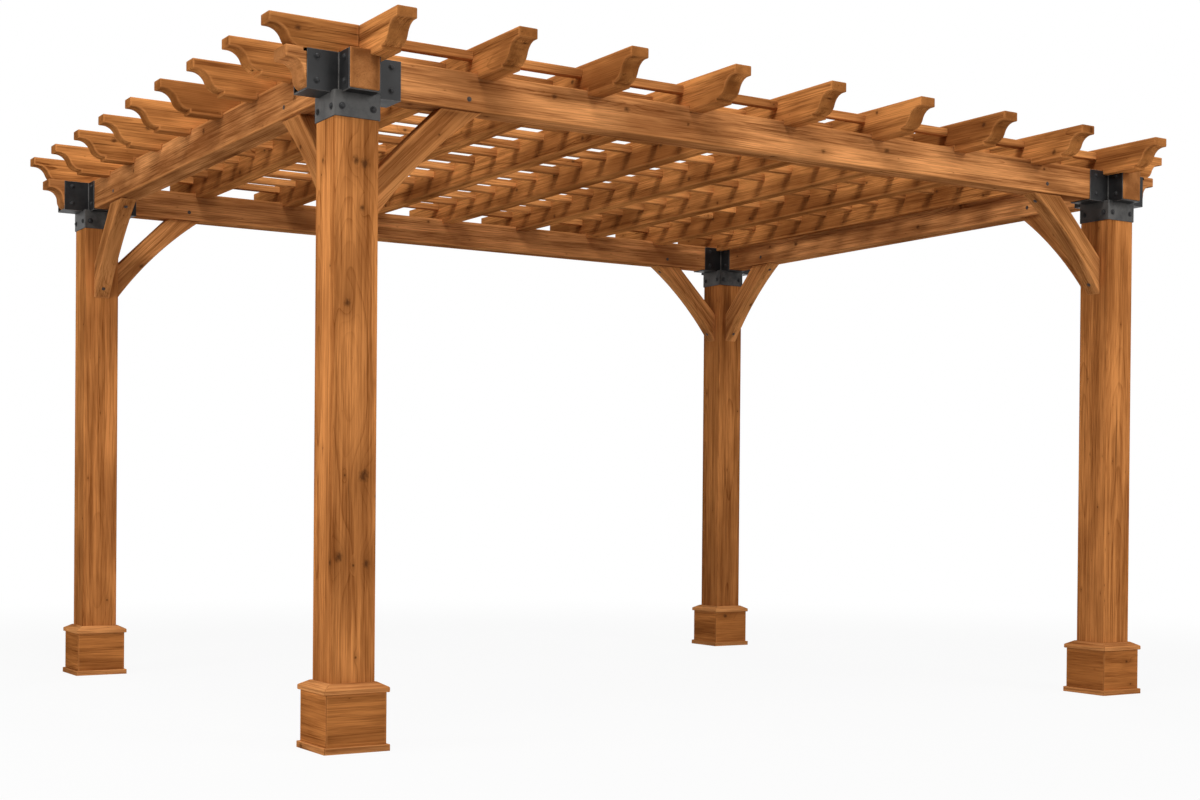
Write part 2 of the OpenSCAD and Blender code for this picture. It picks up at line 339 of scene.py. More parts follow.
    field = sum_of(tree, "MULTIPLY_ADD", wander, wander_by, radius)
    field = sum_of(tree, "MULTIPLY_ADD", ripple, ripple_by, field)
    field = sum_of(tree, "MULTIPLY_ADD", along, taper, field)
    lift = sum_of(tree, "MULTIPLY", halo, sum_of(tree, "MULTIPLY", size, 1.3))
    field = sum_of(tree, "ADD", field, lift)
    count = sum_of(tree, "DIVIDE", field, given.outputs["Spacing"])
    year = sum_of(tree, "FLOOR", count)
    season = sum_of(tree, "FRACT", count)
    growth = sum_of(tree, "POWER", season, late_power)
    late = sum_of(tree, "MULTIPLY", growth, ramp(tree, season, 0.93, 1.0, 1.0, 0.0))
    strength = add(tree, "ShaderNodeTexWhiteNoise", {"W": year}, noise_dimensions="1D").outputs[0]
    ring = sum_of(tree, "MULTIPLY", late, sum_of(tree, "MULTIPLY_ADD", strength, 0.8, 0.25))
    tree.links.new(ring, out.inputs["Ring"])
    tree.links.new(noise(tree, place, (0.9, 26.0, 26.0), 3.0, 0.6), out.inputs["Streak"])
    tree.links.new(noise(tree, place, (5.0, 190.0, 190.0), 3.0, 0.72), out.inputs["Fibre"])
    split_line = noise(tree, place, (1.6, 95.0, 95.0), 2.0, 0.65)
    tree.links.new(ramp(tree, split_line, 0.66, 0.74), out.inputs["Check"])
    return tree


figure_group = cedar_figure()


def stain_coat():
    """The stained surface over a cedar figure: how deep the stain went in, where hands and weather
    wore it off an arris, with a painted highlight along the same arrises, and how it dulled on end
    grain."""
    ring_share = 0.56
    streak_share = 0.55
    fibre_share = 0.58
    left_bare = 0.24
    halo_share = 0.38
    knot_share = 0.76
    check_share = 0.55
    end_share = 0.50
    tree, given, out = group(
        "brushed stain",
        {"Light": "NodeSocketColor", "Dark": "NodeSocketColor", "Ring": "NodeSocketFloat",
         "Streak": "NodeSocketFloat", "Fibre": "NodeSocketFloat", "Check": "NodeSocketFloat",
         "Knot": "NodeSocketFloat", "Halo": "NodeSocketFloat", "Wear": "NodeSocketFloat",
         "Cut": "NodeSocketVector", "Tone": "NodeSocketFloat", "Figure": "NodeSocketVector",
         "Mottle": "NodeSocketFloat"},
        {"Color": "NodeSocketColor", "Roughness": "NodeSocketFloat", "Height": "NodeSocketFloat"},
    )
    ring, streak, fibre = (given.outputs[k] for k in ("Ring", "Streak", "Fibre"))
    along = add(tree, "ShaderNodeSeparateXYZ", {0: given.outputs["Cut"]}).outputs[0]
    end = ramp(tree, sum_of(tree, "ABSOLUTE", along), 0.30, 0.85)
    depth = sum_of(tree, "MULTIPLY", ring, ring_share)
    depth = sum_of(tree, "MULTIPLY_ADD", ramp(tree, streak, 0.34, 0.68), streak_share, depth)
    depth = sum_of(tree, "MULTIPLY_ADD", ramp(tree, fibre, 0.30, 0.70), fibre_share, depth)
    depth = sum_of(tree, "SUBTRACT", depth, left_bare, clamp=True)
    depth = sum_of(tree, "MULTIPLY", depth, ramp(tree, end, 0.0, 1.0, 1.0, 0.5))
    base = mixed(tree, depth, given.outputs["Light"], given.outputs["Dark"])
    cloud = ramp(tree, noise(tree, given.outputs["Figure"], (2.0, 7.0, 7.0), 3.0), 0.36, 0.66)
    mottle = sum_of(tree, "MULTIPLY", cloud, given.outputs["Mottle"])
    base = mixed(tree, mottle, base, colour(*cloud_brown))
    tone = sum_of(tree, "MULTIPLY_ADD", given.outputs["Tone"], 0.22, 0.87)
    grey = add(tree, "ShaderNodeCombineColor", {0: tone, 1: tone, 2: tone}).outputs[0]
    base = mixed(tree, 1.0, base, grey, "MULTIPLY")
    for label, share, tint in (("Halo", halo_share, halo_brown), ("Knot", knot_share, knot_brown),
                               ("Check", check_share, check_brown)):
        covered = sum_of(tree, "MULTIPLY", given.outputs[label], share)
        base = mixed(tree, covered, base, colour(*tint))
    # The rounded arrises are lightened: partly stain rubbed off, partly a painted highlight where an
    # arris catches the light.
    edge_wear_and_highlight_patches = ramp(tree, streak, 0.35, 0.62, 0.10, 0.42)
    rubbed = sum_of(tree, "MULTIPLY", given.outputs["Wear"], edge_wear_and_highlight_patches)
    base = mixed(tree, rubbed, base, colour(*worn_edge_and_highlight_brown))
    base = mixed(tree, sum_of(tree, "MULTIPLY", end, end_share), base, colour(*end_brown))
    tree.links.new(base, out.inputs["Color"])
    dull = sum_of(tree, "MULTIPLY_ADD", fibre, 0.16, 0.58)
    dull = sum_of(tree, "MULTIPLY_ADD", end, 0.20, dull)
    tree.links.new(dull, out.inputs["Roughness"])
    relief = sum_of(tree, "MULTIPLY_ADD", fibre, 0.5, sum_of(tree, "MULTIPLY", ring, 0.5))
    relief = sum_of(tree, "SUBTRACT", relief, sum_of(tree, "MULTIPLY", given.outputs["Check"], 2.5))
    tree.links.new(relief, out.inputs["Height"])
    return tree


stain_group = stain_coat()


def cedar(name, light, dark, spacing, knots=1.0, mottle=0.55, chosen=()):
    """Stained cedar, read off the figure, wear, tone and end grain that each timber carries. Chosen
    knots have a place and a radius each, and the nearest counts: its distance over its radius."""
    far_off = 99.0
    grain_relief = 0.0006
    material = bpy.data.materials.new(name)
    material.use_nodes = True
    tree = material.node_tree
    surface = tree.nodes["Principled BSDF"]
    carried_on = {}
    for label in ("figure", "wear", "tone", "cut"):
        carried_on[label] = add(tree, "ShaderNodeAttribute", {}, attribute_name=label).outputs
    place = carried_on["figure"]["Vector"]
    cut = carried_on["cut"]["Vector"]
    feeds = {"Figure": place, "Cut": cut, "Spacing": spacing, "Knots": knots}
    spot = add(tree, "ShaderNodeTexCoord", {}).outputs["Object"]
    for label, stretch in (("Chosen", (1, 1, 0.85)), ("Chosen Flow", (1, 1, 0.40))):
        nearest = far_off
        for centre, radius in chosen:
            apart = vector_of(tree, "SUBTRACT", spot, centre)[0]
            apart = vector_of(tree, "MULTIPLY", apart, stretch)[0]
            apart = vector_of(tree, "LENGTH", apart)["Value"]
            nearest = sum_of(tree, "MINIMUM", nearest, sum_of(tree, "DIVIDE", apart, radius))
        feeds[label] = nearest
    figure = add(tree, "ShaderNodeGroup", feeds, node_tree=figure_group).outputs
    feeds = {label: figure[label] for label in ("Ring", "Streak", "Fibre", "Check", "Knot", "Halo")}
    feeds.update({"Light": colour(*light), "Dark": colour(*dark), "Mottle": mottle, "Cut": cut,
                  "Wear": carried_on["wear"]["Fac"], "Tone": carried_on["tone"]["Fac"],
                  "Figure": place})
    coat = add(tree, "ShaderNodeGroup", feeds, node_tree=stain_group).outputs
    tree.links.new(coat["Color"], surface.inputs["Base Color"])
    tree.links.new(coat["Roughness"], surface.inputs["Roughness"])
    feeds = {"Height": coat["Height"], "Distance": grain_relief, "Strength": 0.5}
    bump = add(tree, "ShaderNodeBump", feeds)
    tree.links.new(bump.outputs[0], surface.inputs["Normal"])
    surface.inputs["Specular IOR Level"].default_value = 0.0
    return material


# The front left post's knots: the distance in from its front left arris, the height and the size.
left_face, front_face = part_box("post_front_left")[0][:2]
front_knots = ((0.072, 1.856, 0.0095), (0.102, 1.847, 0.0120), (0.094, 1.707, 0.0070),
               (0.046, 1.406, 0.0090), (0.105, 0.867, 0.0140), (0.022, 0.612, 0.0110),
               (0.117, 0.590, 0.0090))
side_knots = ((0.014, 0.595, 0.0070), (0.092, 1.860, 0.0070))
post_knots = [((left_face + in_by, front_face, up), size) for in_by, up, size in front_knots]
post_knots += [((left_face, front_face + in_by, up), size) for in_by, up, size in side_knots]
post_cedar = cedar("post cedar", post_light, post_dark, spacing=0.0062, knots=0.35, mottle=0.42,
                   chosen=post_knots)
corners = ("front_left", "front_right", "back_left", "back_right")
x_axis, y_axis, z_axis = np.eye(3)

for corner in corners:
    low, high = map(np.array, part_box("post_" + corner))
    half = (high - low) / 2
    groove = [(half[0], glue_line - groove_half), (half[0] - groove_depth, glue_line),
              (half[0], glue_line + groove_half)]
    other_groove = [(-x, y) for x, y in reversed(groove)]
    square = [(-half[0], -half[1]), (half[0], -half[1]), *groove,
              (half[0], half[1]), (-half[0], half[1]), *other_groove]
    marks = np.array([1, 1, 0, 0, 0, 1, 1, 0, 0, 0])
    solid = carried(square, marks * post_arris, half[2], 0)
    pith = (draw.uniform(-1.9, -1.2), post_pith_off)
    post = timber(solid, x_axis, y_axis, (low + high) / 2, z_axis, pith)
    fit("cedar_post_" + corner, [post], post_cedar, "cedar_post", "post_" + corner)


# ---------------------------------------------------------------- Post bases
# Each post foot is boxed in with four cedar boards, mitred and glued at the corners. A sloped
# cap moulding, mitred too, closes the top against the post, and a thin trim with a rounded top
# runs round the bottom to cover the joint with the ground.

board_arris = 0.003
cap_arris = 0.003
trim_arris = 0.004
mitre_gap = 0.0006
cap_slope = 0.016
cap_flat = 0.006
board_band = 0.008
moulding_band = 0.006
base_light = (200, 128, 68)
base_dark = (116, 64, 28)
cap_light = (224, 155, 94)
cap_dark = (120, 66, 30)
base_cedar = cedar("base cedar", base_light, base_dark, spacing=0.0064, knots=1.1, mottle=0.45)
cap_cedar = cedar("cap cedar", cap_light, cap_dark, spacing=0.0064, knots=0.75, mottle=0.40)


def mitred(profile, worn, gap, band, out_axis, centre):
    """One side of a moulding that runs round a square.
    The profile holds the distance d out from the middle and the height. A point at distance d runs
    from t = -d to t = d, so both ends are mitred. They stop a gap short and are set in by it."""
    share = np.array([-1.0, -1.0, -1.0, 1.0, 1.0, 1.0])
    inset = np.array([gap, 0, 0, 0, 0, gap])
    short = np.array([gap, 2 * gap, band, band, 2 * gap, gap]) * -share
    rim = np.array([1.0, 1.0, 0, 0, 1.0, 1.0])
    ring = profile + inset[:, None, None] * inward(profile)
    t = ring[..., 0] * share[:, None] + short[:, None]
    local = np.stack([ring[..., 0], ring[..., 1], t], -1)
    run = np.cross(out_axis, z_axis)
    return timber(closed(local, np.maximum(rim[:, None], worn)), out_axis, z_axis, centre, run)


ways_out = (-y_axis, x_axis, y_axis, -x_axis)
trim_low, trim_high = map(np.array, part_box("base_trims"))
trims = []

for corner in corners:
    post_low, post_high = map(np.array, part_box("post_" + corner))
    low, high = map(np.array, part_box("base_box_" + corner))
    foot = np.array([*(post_low + post_high)[:2] / 2, 0])
    inner = (post_high[0] - post_low[0]) / 2
    outer = (high[0] - low[0]) / 2
    profile = np.array([(inner, 0), (outer, 0), (outer, high[2]), (inner, high[2])])
    outline, worn = soften(profile, np.array([0, 1, 1, 0]) * board_arris)
    boards = [mitred(outline, worn, mitre_gap, board_band, out, foot) for out in ways_out]
    fit("cedar_base_" + corner, boards, base_cedar, "cedar_base", "base_box_" + corner)

    trim_outer = outer + (low[0] - trim_low[0] if "left" in corner else trim_high[0] - high[0])
    profile = np.array([(outer, 0), (trim_outer, 0),
                        (trim_outer, trim_high[2]), (outer, trim_high[2])])
    outline, worn = soften(profile, np.array([0, 0, 1, 0]) * trim_arris, band=0.002)
    trims += [mitred(outline, worn, mitre_gap, moulding_band, out, foot) for out in ways_out]

    low, high = map(np.array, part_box("base_cap_" + corner))
    outer = (high[0] - low[0]) / 2
    profile = np.array([(inner, low[2]), (outer, low[2]), (outer, high[2] - cap_slope),
                        (inner + cap_flat, high[2]), (inner, high[2])])
    outline, worn = soften(profile, np.array([0, 1, 1, 0, 0]) * cap_arris, band=0.003)
    sides = [mitred(outline, worn, mitre_gap, moulding_band, out, foot) for out in ways_out]
    fit("cedar_cap_" + corner, sides, cap_cedar, "cedar_base", "base_cap_" + corner)

fit("cedar_trims", trims, cap_cedar, "cedar_base", "base_trims")


# ---------------------------------------------------------------- Steel post caps
# A folded and welded steel cap sits on each post: a skirt round the post's head, a seat plate
# with an arm under each beam, and four upright angles that hold the beams where they cross.
# It is powder coated black, and dome-headed bolts hold it to the post and the beams.

steel_rim = 0.0009
skirt_bend = 0.006
angle_bend = 0.006
seat_rim = 0.0003
arm_overlap = 0.001
plate_t = 0.005
steel_t = 0.004
bolt_edge = 0.026
skirt_bolt_drop = 0.049
leg_bolt_inset = 0.033
leg_bolt_low = 0.025
leg_bolt_top = 0.022
bolt_sides = 10
black_paint = (22, 22, 23)
bolt_paint = (30, 30, 31)
cloud_grey = (48, 47, 46)
speck_grey = (74, 73, 71)
rubbed_grey = (128, 125, 121)
# Each bolt head's outline from its foot to its crown: the distance from its axis and the height.
bolt_profile = [(0.0115, 0), (0.0115, 0.0012), (0.0086, 0.0016), (0.0080, 0.0038),
                (0.0056, 0.0060), (0.0022, 0.0069)]


def powder_coat():
    """Baked powder paint over folded steel: a fine orange-peel relief, a slight cloudiness, and
    brighter metal-grey where the rims were handled."""
    tree, given, out = group(
        "powder coat",
        {"Place": "NodeSocketVector", "Wear": "NodeSocketFloat", "Paint": "NodeSocketColor"},
        {"Color": "NodeSocketColor", "Roughness": "NodeSocketFloat", "Height": "NodeSocketFloat"},
    )
    place = given.outputs["Place"]
    cloud = noise(tree, place, (14.0, 14.0, 14.0), 4.0, 0.6)
    peel = noise(tree, place, (620.0, 620.0, 620.0), 2.0)
    clouded = ramp(tree, cloud, 0.3, 0.8, 0.0, 0.55)
    base = mixed(tree, clouded, given.outputs["Paint"], colour(*cloud_grey))
    speck = ramp(tree, peel, 0.55, 0.8, 0.0, 0.25)
    base = mixed(tree, speck, base, colour(*speck_grey))
    rubbed = sum_of(tree, "MULTIPLY", given.outputs["Wear"], ramp(tree, cloud, 0.3, 0.6, 0.1, 0.5))
    tree.links.new(mixed(tree, rubbed, base, colour(*rubbed_grey)), out.inputs["Color"])
    tree.links.new(ramp(tree, cloud, 0.2, 0.8, 0.40, 0.56), out.inputs["Roughness"])
    tree.links.new(peel, out.inputs["Height"])
    return tree


powder_group = powder_coat()


def painted_steel(name, paint, relief):
    """Powder-coated steel, its texture fixed to the object's own coordinates."""
    material = bpy.data.materials.new(name)
    material.use_nodes = True
    tree = material.node_tree
    surface = tree.nodes["Principled BSDF"]
    place = add(tree, "ShaderNodeTexCoord", {}).outputs["Object"]
    worn_rim = add(tree, "ShaderNodeAttribute", {}, attribute_name="wear").outputs["Fac"]
    feeds = {"Paint": colour(*paint), "Place": place, "Wear": worn_rim}
    coat = add(tree, "ShaderNodeGroup", feeds, node_tree=powder_group).outputs
    tree.links.new(coat["Color"], surface.inputs["Base Color"])
    tree.links.new(coat["Roughness"], surface.inputs["Roughness"])
    feeds = {"Height": coat["Height"], "Distance": relief, "Strength": 0.6}
    bump = add(tree, "ShaderNodeBump", feeds)
    tree.links.new(bump.outputs[0], surface.inputs["Normal"])
    surface.inputs["Specular IOR Level"].default_value = 0.22
    return material


cap_steel = painted_steel("black cap steel", black_paint, relief=0.0003)
bolt_steel = painted_steel("black bolt steel", bolt_paint, relief=0.0001)


def hooped(outline, profile, worn):
    """A band round a closed outline: each point of its closed profile is set in by its first number
    and raised by its second."""
    profile = np.array(profile, float)
    ring = outline + profile[:, 0, None, None] * inward(outline)
    height = np.broadcast_to(profile[:, 1, None, None], ring.shape[:2] + (1,))
    n, k = len(outline), len(profile)
    i = np.arange(n)
    j = (i + 1) % n
    row = np.arange(k)[:, None] * n
    above = (row + n) % (n * k)
    quads = np.stack([row + i, row + j, above + j, above + i], -1).reshape(-1, 4)
    wear = np.maximum(worn, np.ones((k, n)) * (profile[:, :1] < 0.002))
    return np.concatenate([ring, height], -1).reshape(-1, 3), quads.tolist(), wear.ravel() * 0.6


def bolt_heads(places, ways, profile):
    """Dome-headed bolts on their washers: each profile point's radius is turned once round an axis
    that starts at its place and points its way, and its height is laid along that axis."""
    places = np.array(places, float)
    ways = unit(np.array(ways, float))
    spare = np.where(np.abs(ways[:, 2:]) > 0.9, x_axis, z_axis)
    side = unit(np.cross(spare, ways))
    other = np.cross(ways, side)
    profile = np.array(profile)
    around = np.linspace(0, 2 * np.pi, bolt_sides, endpoint=False)
    n, k = len(around), len(profile)
    flat = profile[:, 0, None, None] * (np.cos(around)[:, None] * side[:, None, None]
                                        + np.sin(around)[:, None] * other[:, None, None])
    points = places[:, None, None] + flat + profile[:, 1, None, None] * ways[:, None, None]
    return [placed(closed(p, np.zeros((k, n))), x_axis, y_axis, (0, 0, 0)) for p in points]


def flat_bar(low, high, rim):
    """A bar of plate between two corners, with eased rims."""
    half = (high - low) / 2
    rectangle = np.array([(-1, -1), (1, -1), (1, 1), (-1, 1)]) * half[:2]
    bar = carried(rectangle, np.ones(4) * rim, half[2], rim, band=0.002, steps=2)
    return placed(bar, x_axis, y_axis, (low + high) / 2)


beam_half = (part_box("beam_left")[1][0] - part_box("beam_left")[0][0]) / 2

for corner in corners:
    post_low, post_high = map(np.array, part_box("post_" + corner))
    low, high = map(np.array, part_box("steel_cap_" + corner))
    middle = np.array([*(post_low + post_high)[:2] / 2, 0])
    seat = post_high[2] + plate_t
    reach_x, reach_y = ((high - low) / 2)[:2]
    outer = (post_high[0] - post_low[0]) / 2 + steel_t
    square = np.array([(-1, -1), (1, -1), (1, 1), (-1, 1)]) * outer
    outline, worn = soften(square, np.ones(4) * skirt_bend, band=0.004)
    band = [(steel_rim, low[2]), (0, low[2] + steel_rim), (0, seat - steel_rim), (steel_rim, seat),
            (steel_t, seat), (steel_t, low[2])]
    steel = [placed(hooped(outline, band, worn), x_axis, y_axis, middle)]
    inner = outer - steel_t
    seat_low = middle + (-inner, -inner, post_high[2])
    steel.append(flat_bar(seat_low, middle + (inner, inner, seat), seat_rim))
    for side in (-1, 1):
        near, far = sorted((side * (outer - arm_overlap), side * reach_x))
        arm_low = middle + (near, -beam_half, post_high[2])
        steel.append(flat_bar(arm_low, middle + (far, beam_half, seat), steel_rim))
        near, far = sorted((side * (outer - arm_overlap), side * reach_y))
        arm_low = middle + (-beam_half, near, post_high[2])
        steel.append(flat_bar(arm_low, middle + (beam_half, far, seat), steel_rim))
    bolts, ways = [], []
    for sx in (-1, 1):
        for sy in (-1, 1):
            near = beam_half
            far = near + steel_t
            leg = [(near, near), (reach_x, near), (reach_x, far), (far, far), (far, reach_y),
                   (near, reach_y)]
            bend = np.array([angle_bend, steel_rim, steel_rim,
                             angle_bend / 2, steel_rim, steel_rim])
            leg = np.array(leg) * (sx, sy)
            if sx * sy < 0:
                leg, bend = leg[::-1], bend[::-1]
            tall = (high[2] - post_high[2]) / 2
            upright = carried(leg, bend, tall, steel_rim, band=0.0005)
            steel.append(placed(upright, x_axis, y_axis, middle + (0, 0, post_high[2] + tall)))
            for z in (seat + leg_bolt_low, high[2] - leg_bolt_top):
                bolts.append(middle + (sx * (reach_x - leg_bolt_inset), sy * far, z))
                ways.append(sy * y_axis)
                bolts.append(middle + (sx * far, sy * (reach_y - leg_bolt_inset), z))
                ways.append(sx * x_axis)
    for out in ways_out:
        for side in (-1, 1):
            sideways = np.cross(out, z_axis) * side * (outer - bolt_edge)
            bolts.append(middle + out * outer + sideways + (0, 0, seat - skirt_bolt_drop))
            ways.append(out)
    fit("steel_cap_" + corner + "_plate", steel, cap_steel, "black_steel", "steel_cap_" + corner)
    heads = bolt_heads(bolts, ways, bolt_profile)
    fit("cap_bolts_" + corner, heads, bolt_steel, "black_steel")


# ---------------------------------------------------------------- Beams
# Four cedar beams tie the posts together. They are halved into each other over each post, so
# their tops are level. The front and back beams end in an S-curved nose outside the side beams,
# and the side beams end square.

beam_arris = 0.004
beam_tip = 0.038
beam_lip = 0.018
nose_points = 9
beam_light = (224, 154, 94)
beam_dark = (108, 59, 28)
beam_cedar = cedar("beam cedar", beam_light, beam_dark, spacing=0.0070, knots=1.0, mottle=0.62)


def nose(end, top, low, tip, lip, run, step):
    """The shaped end of a timber, from its top corner round to its underside, counted from its middle
    towards its far end. The nose has a square tip, a short level lip, and two equal arcs of radius
    (run^2 + drop^2) / (4 drop) that turn by twice the angle whose tangent is drop / run. A step may
    follow. Gives the points and which of them are corners."""
    drop = top - low - tip - step
    radius = (run * run + drop * drop) / (4 * drop)
    turn = np.linspace(0, 2 * np.arctan2(drop, run), nose_points)
    sweep = radius * np.sin(turn)
    fall = radius * (1 - np.cos(turn))
    across = np.concatenate([lip + sweep, (lip + run - sweep)[-2::-1]])
    down = np.concatenate([fall, (drop - fall)[-2::-1]])
    points = [(end, top), (end, top - tip)]
    points += np.stack([end - across, top - tip - down], -1).tolist()
    marks = [1, 1] + [0] * len(across)
    if step:
        points.append((end - lip - run, low))
        marks.append(1)
    return np.array(points), np.array(marks)


for name in ("front", "back"):
    low, high = map(np.array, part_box("beam_" + name))
    centre = (low + high) / 2
    crossing = np.array(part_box("beam_right"))[:, 0]
    middle_z = (low[2] + high[2]) / 2
    run = high[2] - low[2] - beam_tip
    points, marks = nose(high[0], high[2], low[2], beam_tip, beam_lip, run, 0)
    lap = np.array([(crossing[1], high[2]), (crossing[1], middle_z),
                    (crossing[0], middle_z), (crossing[0], high[2])])
    other_lap = lap[::-1] * (-1, 1)
    outline = np.concatenate([points * (-1, 1), points[::-1], lap, other_lap])
    marks = np.concatenate([marks, marks[::-1], np.zeros(8)])
    solid = carried(outline, marks * beam_arris, (high[1] - low[1]) / 2, beam_arris)
    beam = timber(solid, x_axis, z_axis, (0, centre[1], 0), x_axis)
    fit("cedar_beam_" + name, [beam], beam_cedar, "cedar_beam", "beam_" + name)

for name in ("left", "right"):
    low, high = map(np.array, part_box("beam_" + name))
    centre = (low + high) / 2
    crossing = np.array(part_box("beam_back"))[:, 1]
    middle_z = (low[2] + high[2]) / 2
    lap = np.array([(crossing[0], low[2]), (crossing[0], middle_z),
                    (crossing[1], middle_z), (crossing[1], low[2])])
    outline = np.concatenate([[(low[1], high[2]), (low[1], low[2])], lap[::-1] * (-1, 1), lap,
                              [(high[1], low[2]), (high[1], high[2])]])
    marks = np.array([1, 1, 0, 0, 0, 0, 0, 0, 0, 0, 1, 1])
    solid = carried(outline, marks * beam_arris, (high[0] - low[0]) / 2, beam_arris)
    beam = timber(solid, y_axis, z_axis, (centre[0], 0, 0), y_axis)
    fit("cedar_beam_" + name, [beam], beam_cedar, "cedar_beam", "beam_" + name)


# ---------------------------------------------------------------- Knee braces
# Two braces at each post stiffen the frame, one under each beam. Each is sawn from a wide board
# with a straight upper edge and a hollow lower one, stands against the post and the beam, and is
# held by a lag bolt sunk in at each foot and a bolt through the beam above it.

brace_arris = 0.004
brace_inner = 0.240
brace_hollow = 0.024
lag_inset = 0.050
through_share = 0.62
through_rise = 0.036
lag_profile = [(0.0085, 0), (0.0085, 0.0006), (0.0060, 0.0007), (0.0057, 0.0022), (0.0032, 0.0031),
               (0.0011, 0.0034)]
hollow_points = 15
hollow_turn = 0.75 * np.pi
lag_paint = (74, 60, 50)
brace_light = (222, 152, 90)
brace_dark = (118, 67, 31)
lag_steel = painted_steel("brown lag steel", lag_paint, relief=0.0001)
brace_cedar = cedar("brace cedar", brace_light, brace_dark, spacing=0.0060, knots=0.8)
lags, lag_ways = [], []

for corner in corners:
    long_way, short_way = corner.split("_")
    post_low, post_high = map(np.array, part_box("post_" + corner))
    middle = (post_low + post_high) / 2
    for node, beam_name, out in ((corner, long_way, -np.sign(middle[0]) * x_axis),
                                 (short_way + "_" + long_way, short_way, -np.sign(middle[1]) * y_axis)):
        low, high = map(np.array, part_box("brace_" + node))
        outer = high[2] - low[2]
        half = np.min(high - low) / 2
        chord = outer * np.sqrt(2)
        radius = (chord ** 2 / 4 + brace_hollow ** 2) / (2 * brace_hollow)
        away = outer / 2 + (radius - brace_hollow) / np.sqrt(2)
        spread = np.arcsin(chord / 2 / radius)
        turn = hollow_turn + np.linspace(spread, -spread, hollow_points)
        arc = np.stack([away + radius * np.cos(turn), -away + radius * np.sin(turn)], -1)
        outline = np.concatenate([[(brace_inner, 0), (0, -brace_inner)], arc])
        marks = np.zeros(len(outline))
        marks[[0, 1, 2, -1]] = 1
        corner_point = middle * np.abs(np.cross(out, z_axis)) + (0, 0, high[2])
        face = (post_high[0] - post_low[0]) / 2
        corner_point += np.abs(out) * middle + out * face
        solid = carried(outline, marks * brace_arris, half, brace_arris)
        fit("cedar_brace_" + node, [timber(solid, out, z_axis, corner_point, out + z_axis)],
            brace_cedar, "cedar_brace", "brace_" + node)
        inset = lag_inset / radius
        for angle in (hollow_turn + spread - inset, hollow_turn - spread + inset):
            way = -np.cos(angle) * out - np.sin(angle) * z_axis
            spot = corner_point + out * away - z_axis * away - way * radius
            lags.append(spot)
            lag_ways.append(way)
        beam_low, beam_high = map(np.array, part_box("beam_" + beam_name))
        along_beam = brace_inner + through_share * (outer - brace_inner)
        across = np.abs(np.cross(out, z_axis))
        for side in (-1, 1):
            spot = corner_point + out * along_beam + z_axis * through_rise
            spot += across * side * ((beam_high - beam_low) @ across) / 2
            lags.append(spot)
            lag_ways.append(across * side)

fit("lag_bolts", bolt_heads(lags, lag_ways, lag_profile), lag_steel, "black_steel")


# ---------------------------------------------------------------- Rafters
# Nine cedar rafters lie from front to back, notched over the front and back beams. Both ends
# run out past the beams and are sawn to an S curve with a small step.

rafter_arris = 0.004
tip_h = 0.034
tip_lip = 0.016
curve_run = 0.094
curve_step = 0.012
rafter_band = 0.006
rafter_light = (217, 144, 80)
rafter_dark = (106, 59, 26)
rafter_cedar = cedar("rafter cedar", rafter_light, rafter_dark, spacing=0.0062, knots=0.8,
                     mottle=0.70)
rafter_nodes = sorted(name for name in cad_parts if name.startswith("rafter_"))
front_y = np.array(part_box("beam_front"))[:, 1]
beam_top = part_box("beam_front")[1][2]

for node in rafter_nodes:
    low, high = map(np.array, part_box(node))
    points, marks = nose(high[1], high[2], low[2], tip_h, tip_lip, curve_run, curve_step)
    notch = np.array([(front_y[0], low[2]), (front_y[0], beam_top),
                      (front_y[1], beam_top), (front_y[1], low[2])])
    outline = np.concatenate([points * (-1, 1), notch, notch[::-1] * (-1, 1), points[::-1]])
    marks = np.concatenate([marks, np.zeros(8), marks[::-1]]) * rafter_arris
    solid = carried(outline, marks, (high[0] - low[0]) / 2, rafter_arris, rafter_band)
    rafter = timber(solid, y_axis, z_axis, ((low[0] + high[0]) / 2, 0, 0), y_axis)
    fit("cedar_" + node, [rafter], rafter_cedar, "cedar_rafter", node)


# ---------------------------------------------------------------- Side tails
# Nine short cedar tails on each side carry the rafters' shaped ends round the corners. Each
# butts against the outer rafter, is cut level over the side beam and is screwed down to it.

tail_count = 9
rafter_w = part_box("rafter_1")[1][0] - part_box("rafter_1")[0][0]

for name, sign in (("left", -1), ("right", 1)):
    low, high = map(np.array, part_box("tails_" + name))
    root, end = sorted(np.abs((low[0], high[0])))
    beam_face = np.abs(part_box("beam_" + name)[0 if sign < 0 else 1][0])
    points, marks = nose(end, high[2], low[2], tip_h, tip_lip, curve_run, curve_step)
    outline = np.concatenate([points, [(beam_face, low[2]), (beam_face, beam_top),
                                       (root, beam_top), (root, high[2])]])
    marks = np.concatenate([marks, np.zeros(4)])
    outline = outline[::-1] * (sign, 1) if sign > 0 else outline * (sign, 1)
    marks = marks[::-1] if sign > 0 else marks
    solid = carried(outline, marks * rafter_arris, rafter_w / 2, rafter_arris, rafter_band)
    rows = np.linspace(low[1] + rafter_w / 2, high[1] - rafter_w / 2, tail_count)
    tails = [timber(solid, x_axis, z_axis, (0, y, 0), x_axis) for y in rows]
    fit("cedar_tails_" + name, tails, rafter_cedar, "cedar_rafter", "tails_" + name)


# ---------------------------------------------------------------- Slats
# Rows of short cedar slats fill the bays between the rafters, set a little below their tops, and
# give the shade. Each is cut to its bay and toe-nailed to the rafters at both ends.

slat_arris = 0.0025
slat_rows = 15
# The slat colours are paler than the other cedar's, so the slats' front edges and undersides look lit:
# painted light where the rafters shade the bays.
slat_light = (228, 155, 90)
slat_dark = (118, 66, 30)
slat_cedar_with_painted_light = cedar("slat cedar with painted light", slat_light, slat_dark, spacing=0.0052, knots=0.6)
rafter_boxes = [np.array(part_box(node)) for node in rafter_nodes]
front_row = np.mean(np.array(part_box("post_front_left"))[:, 1])

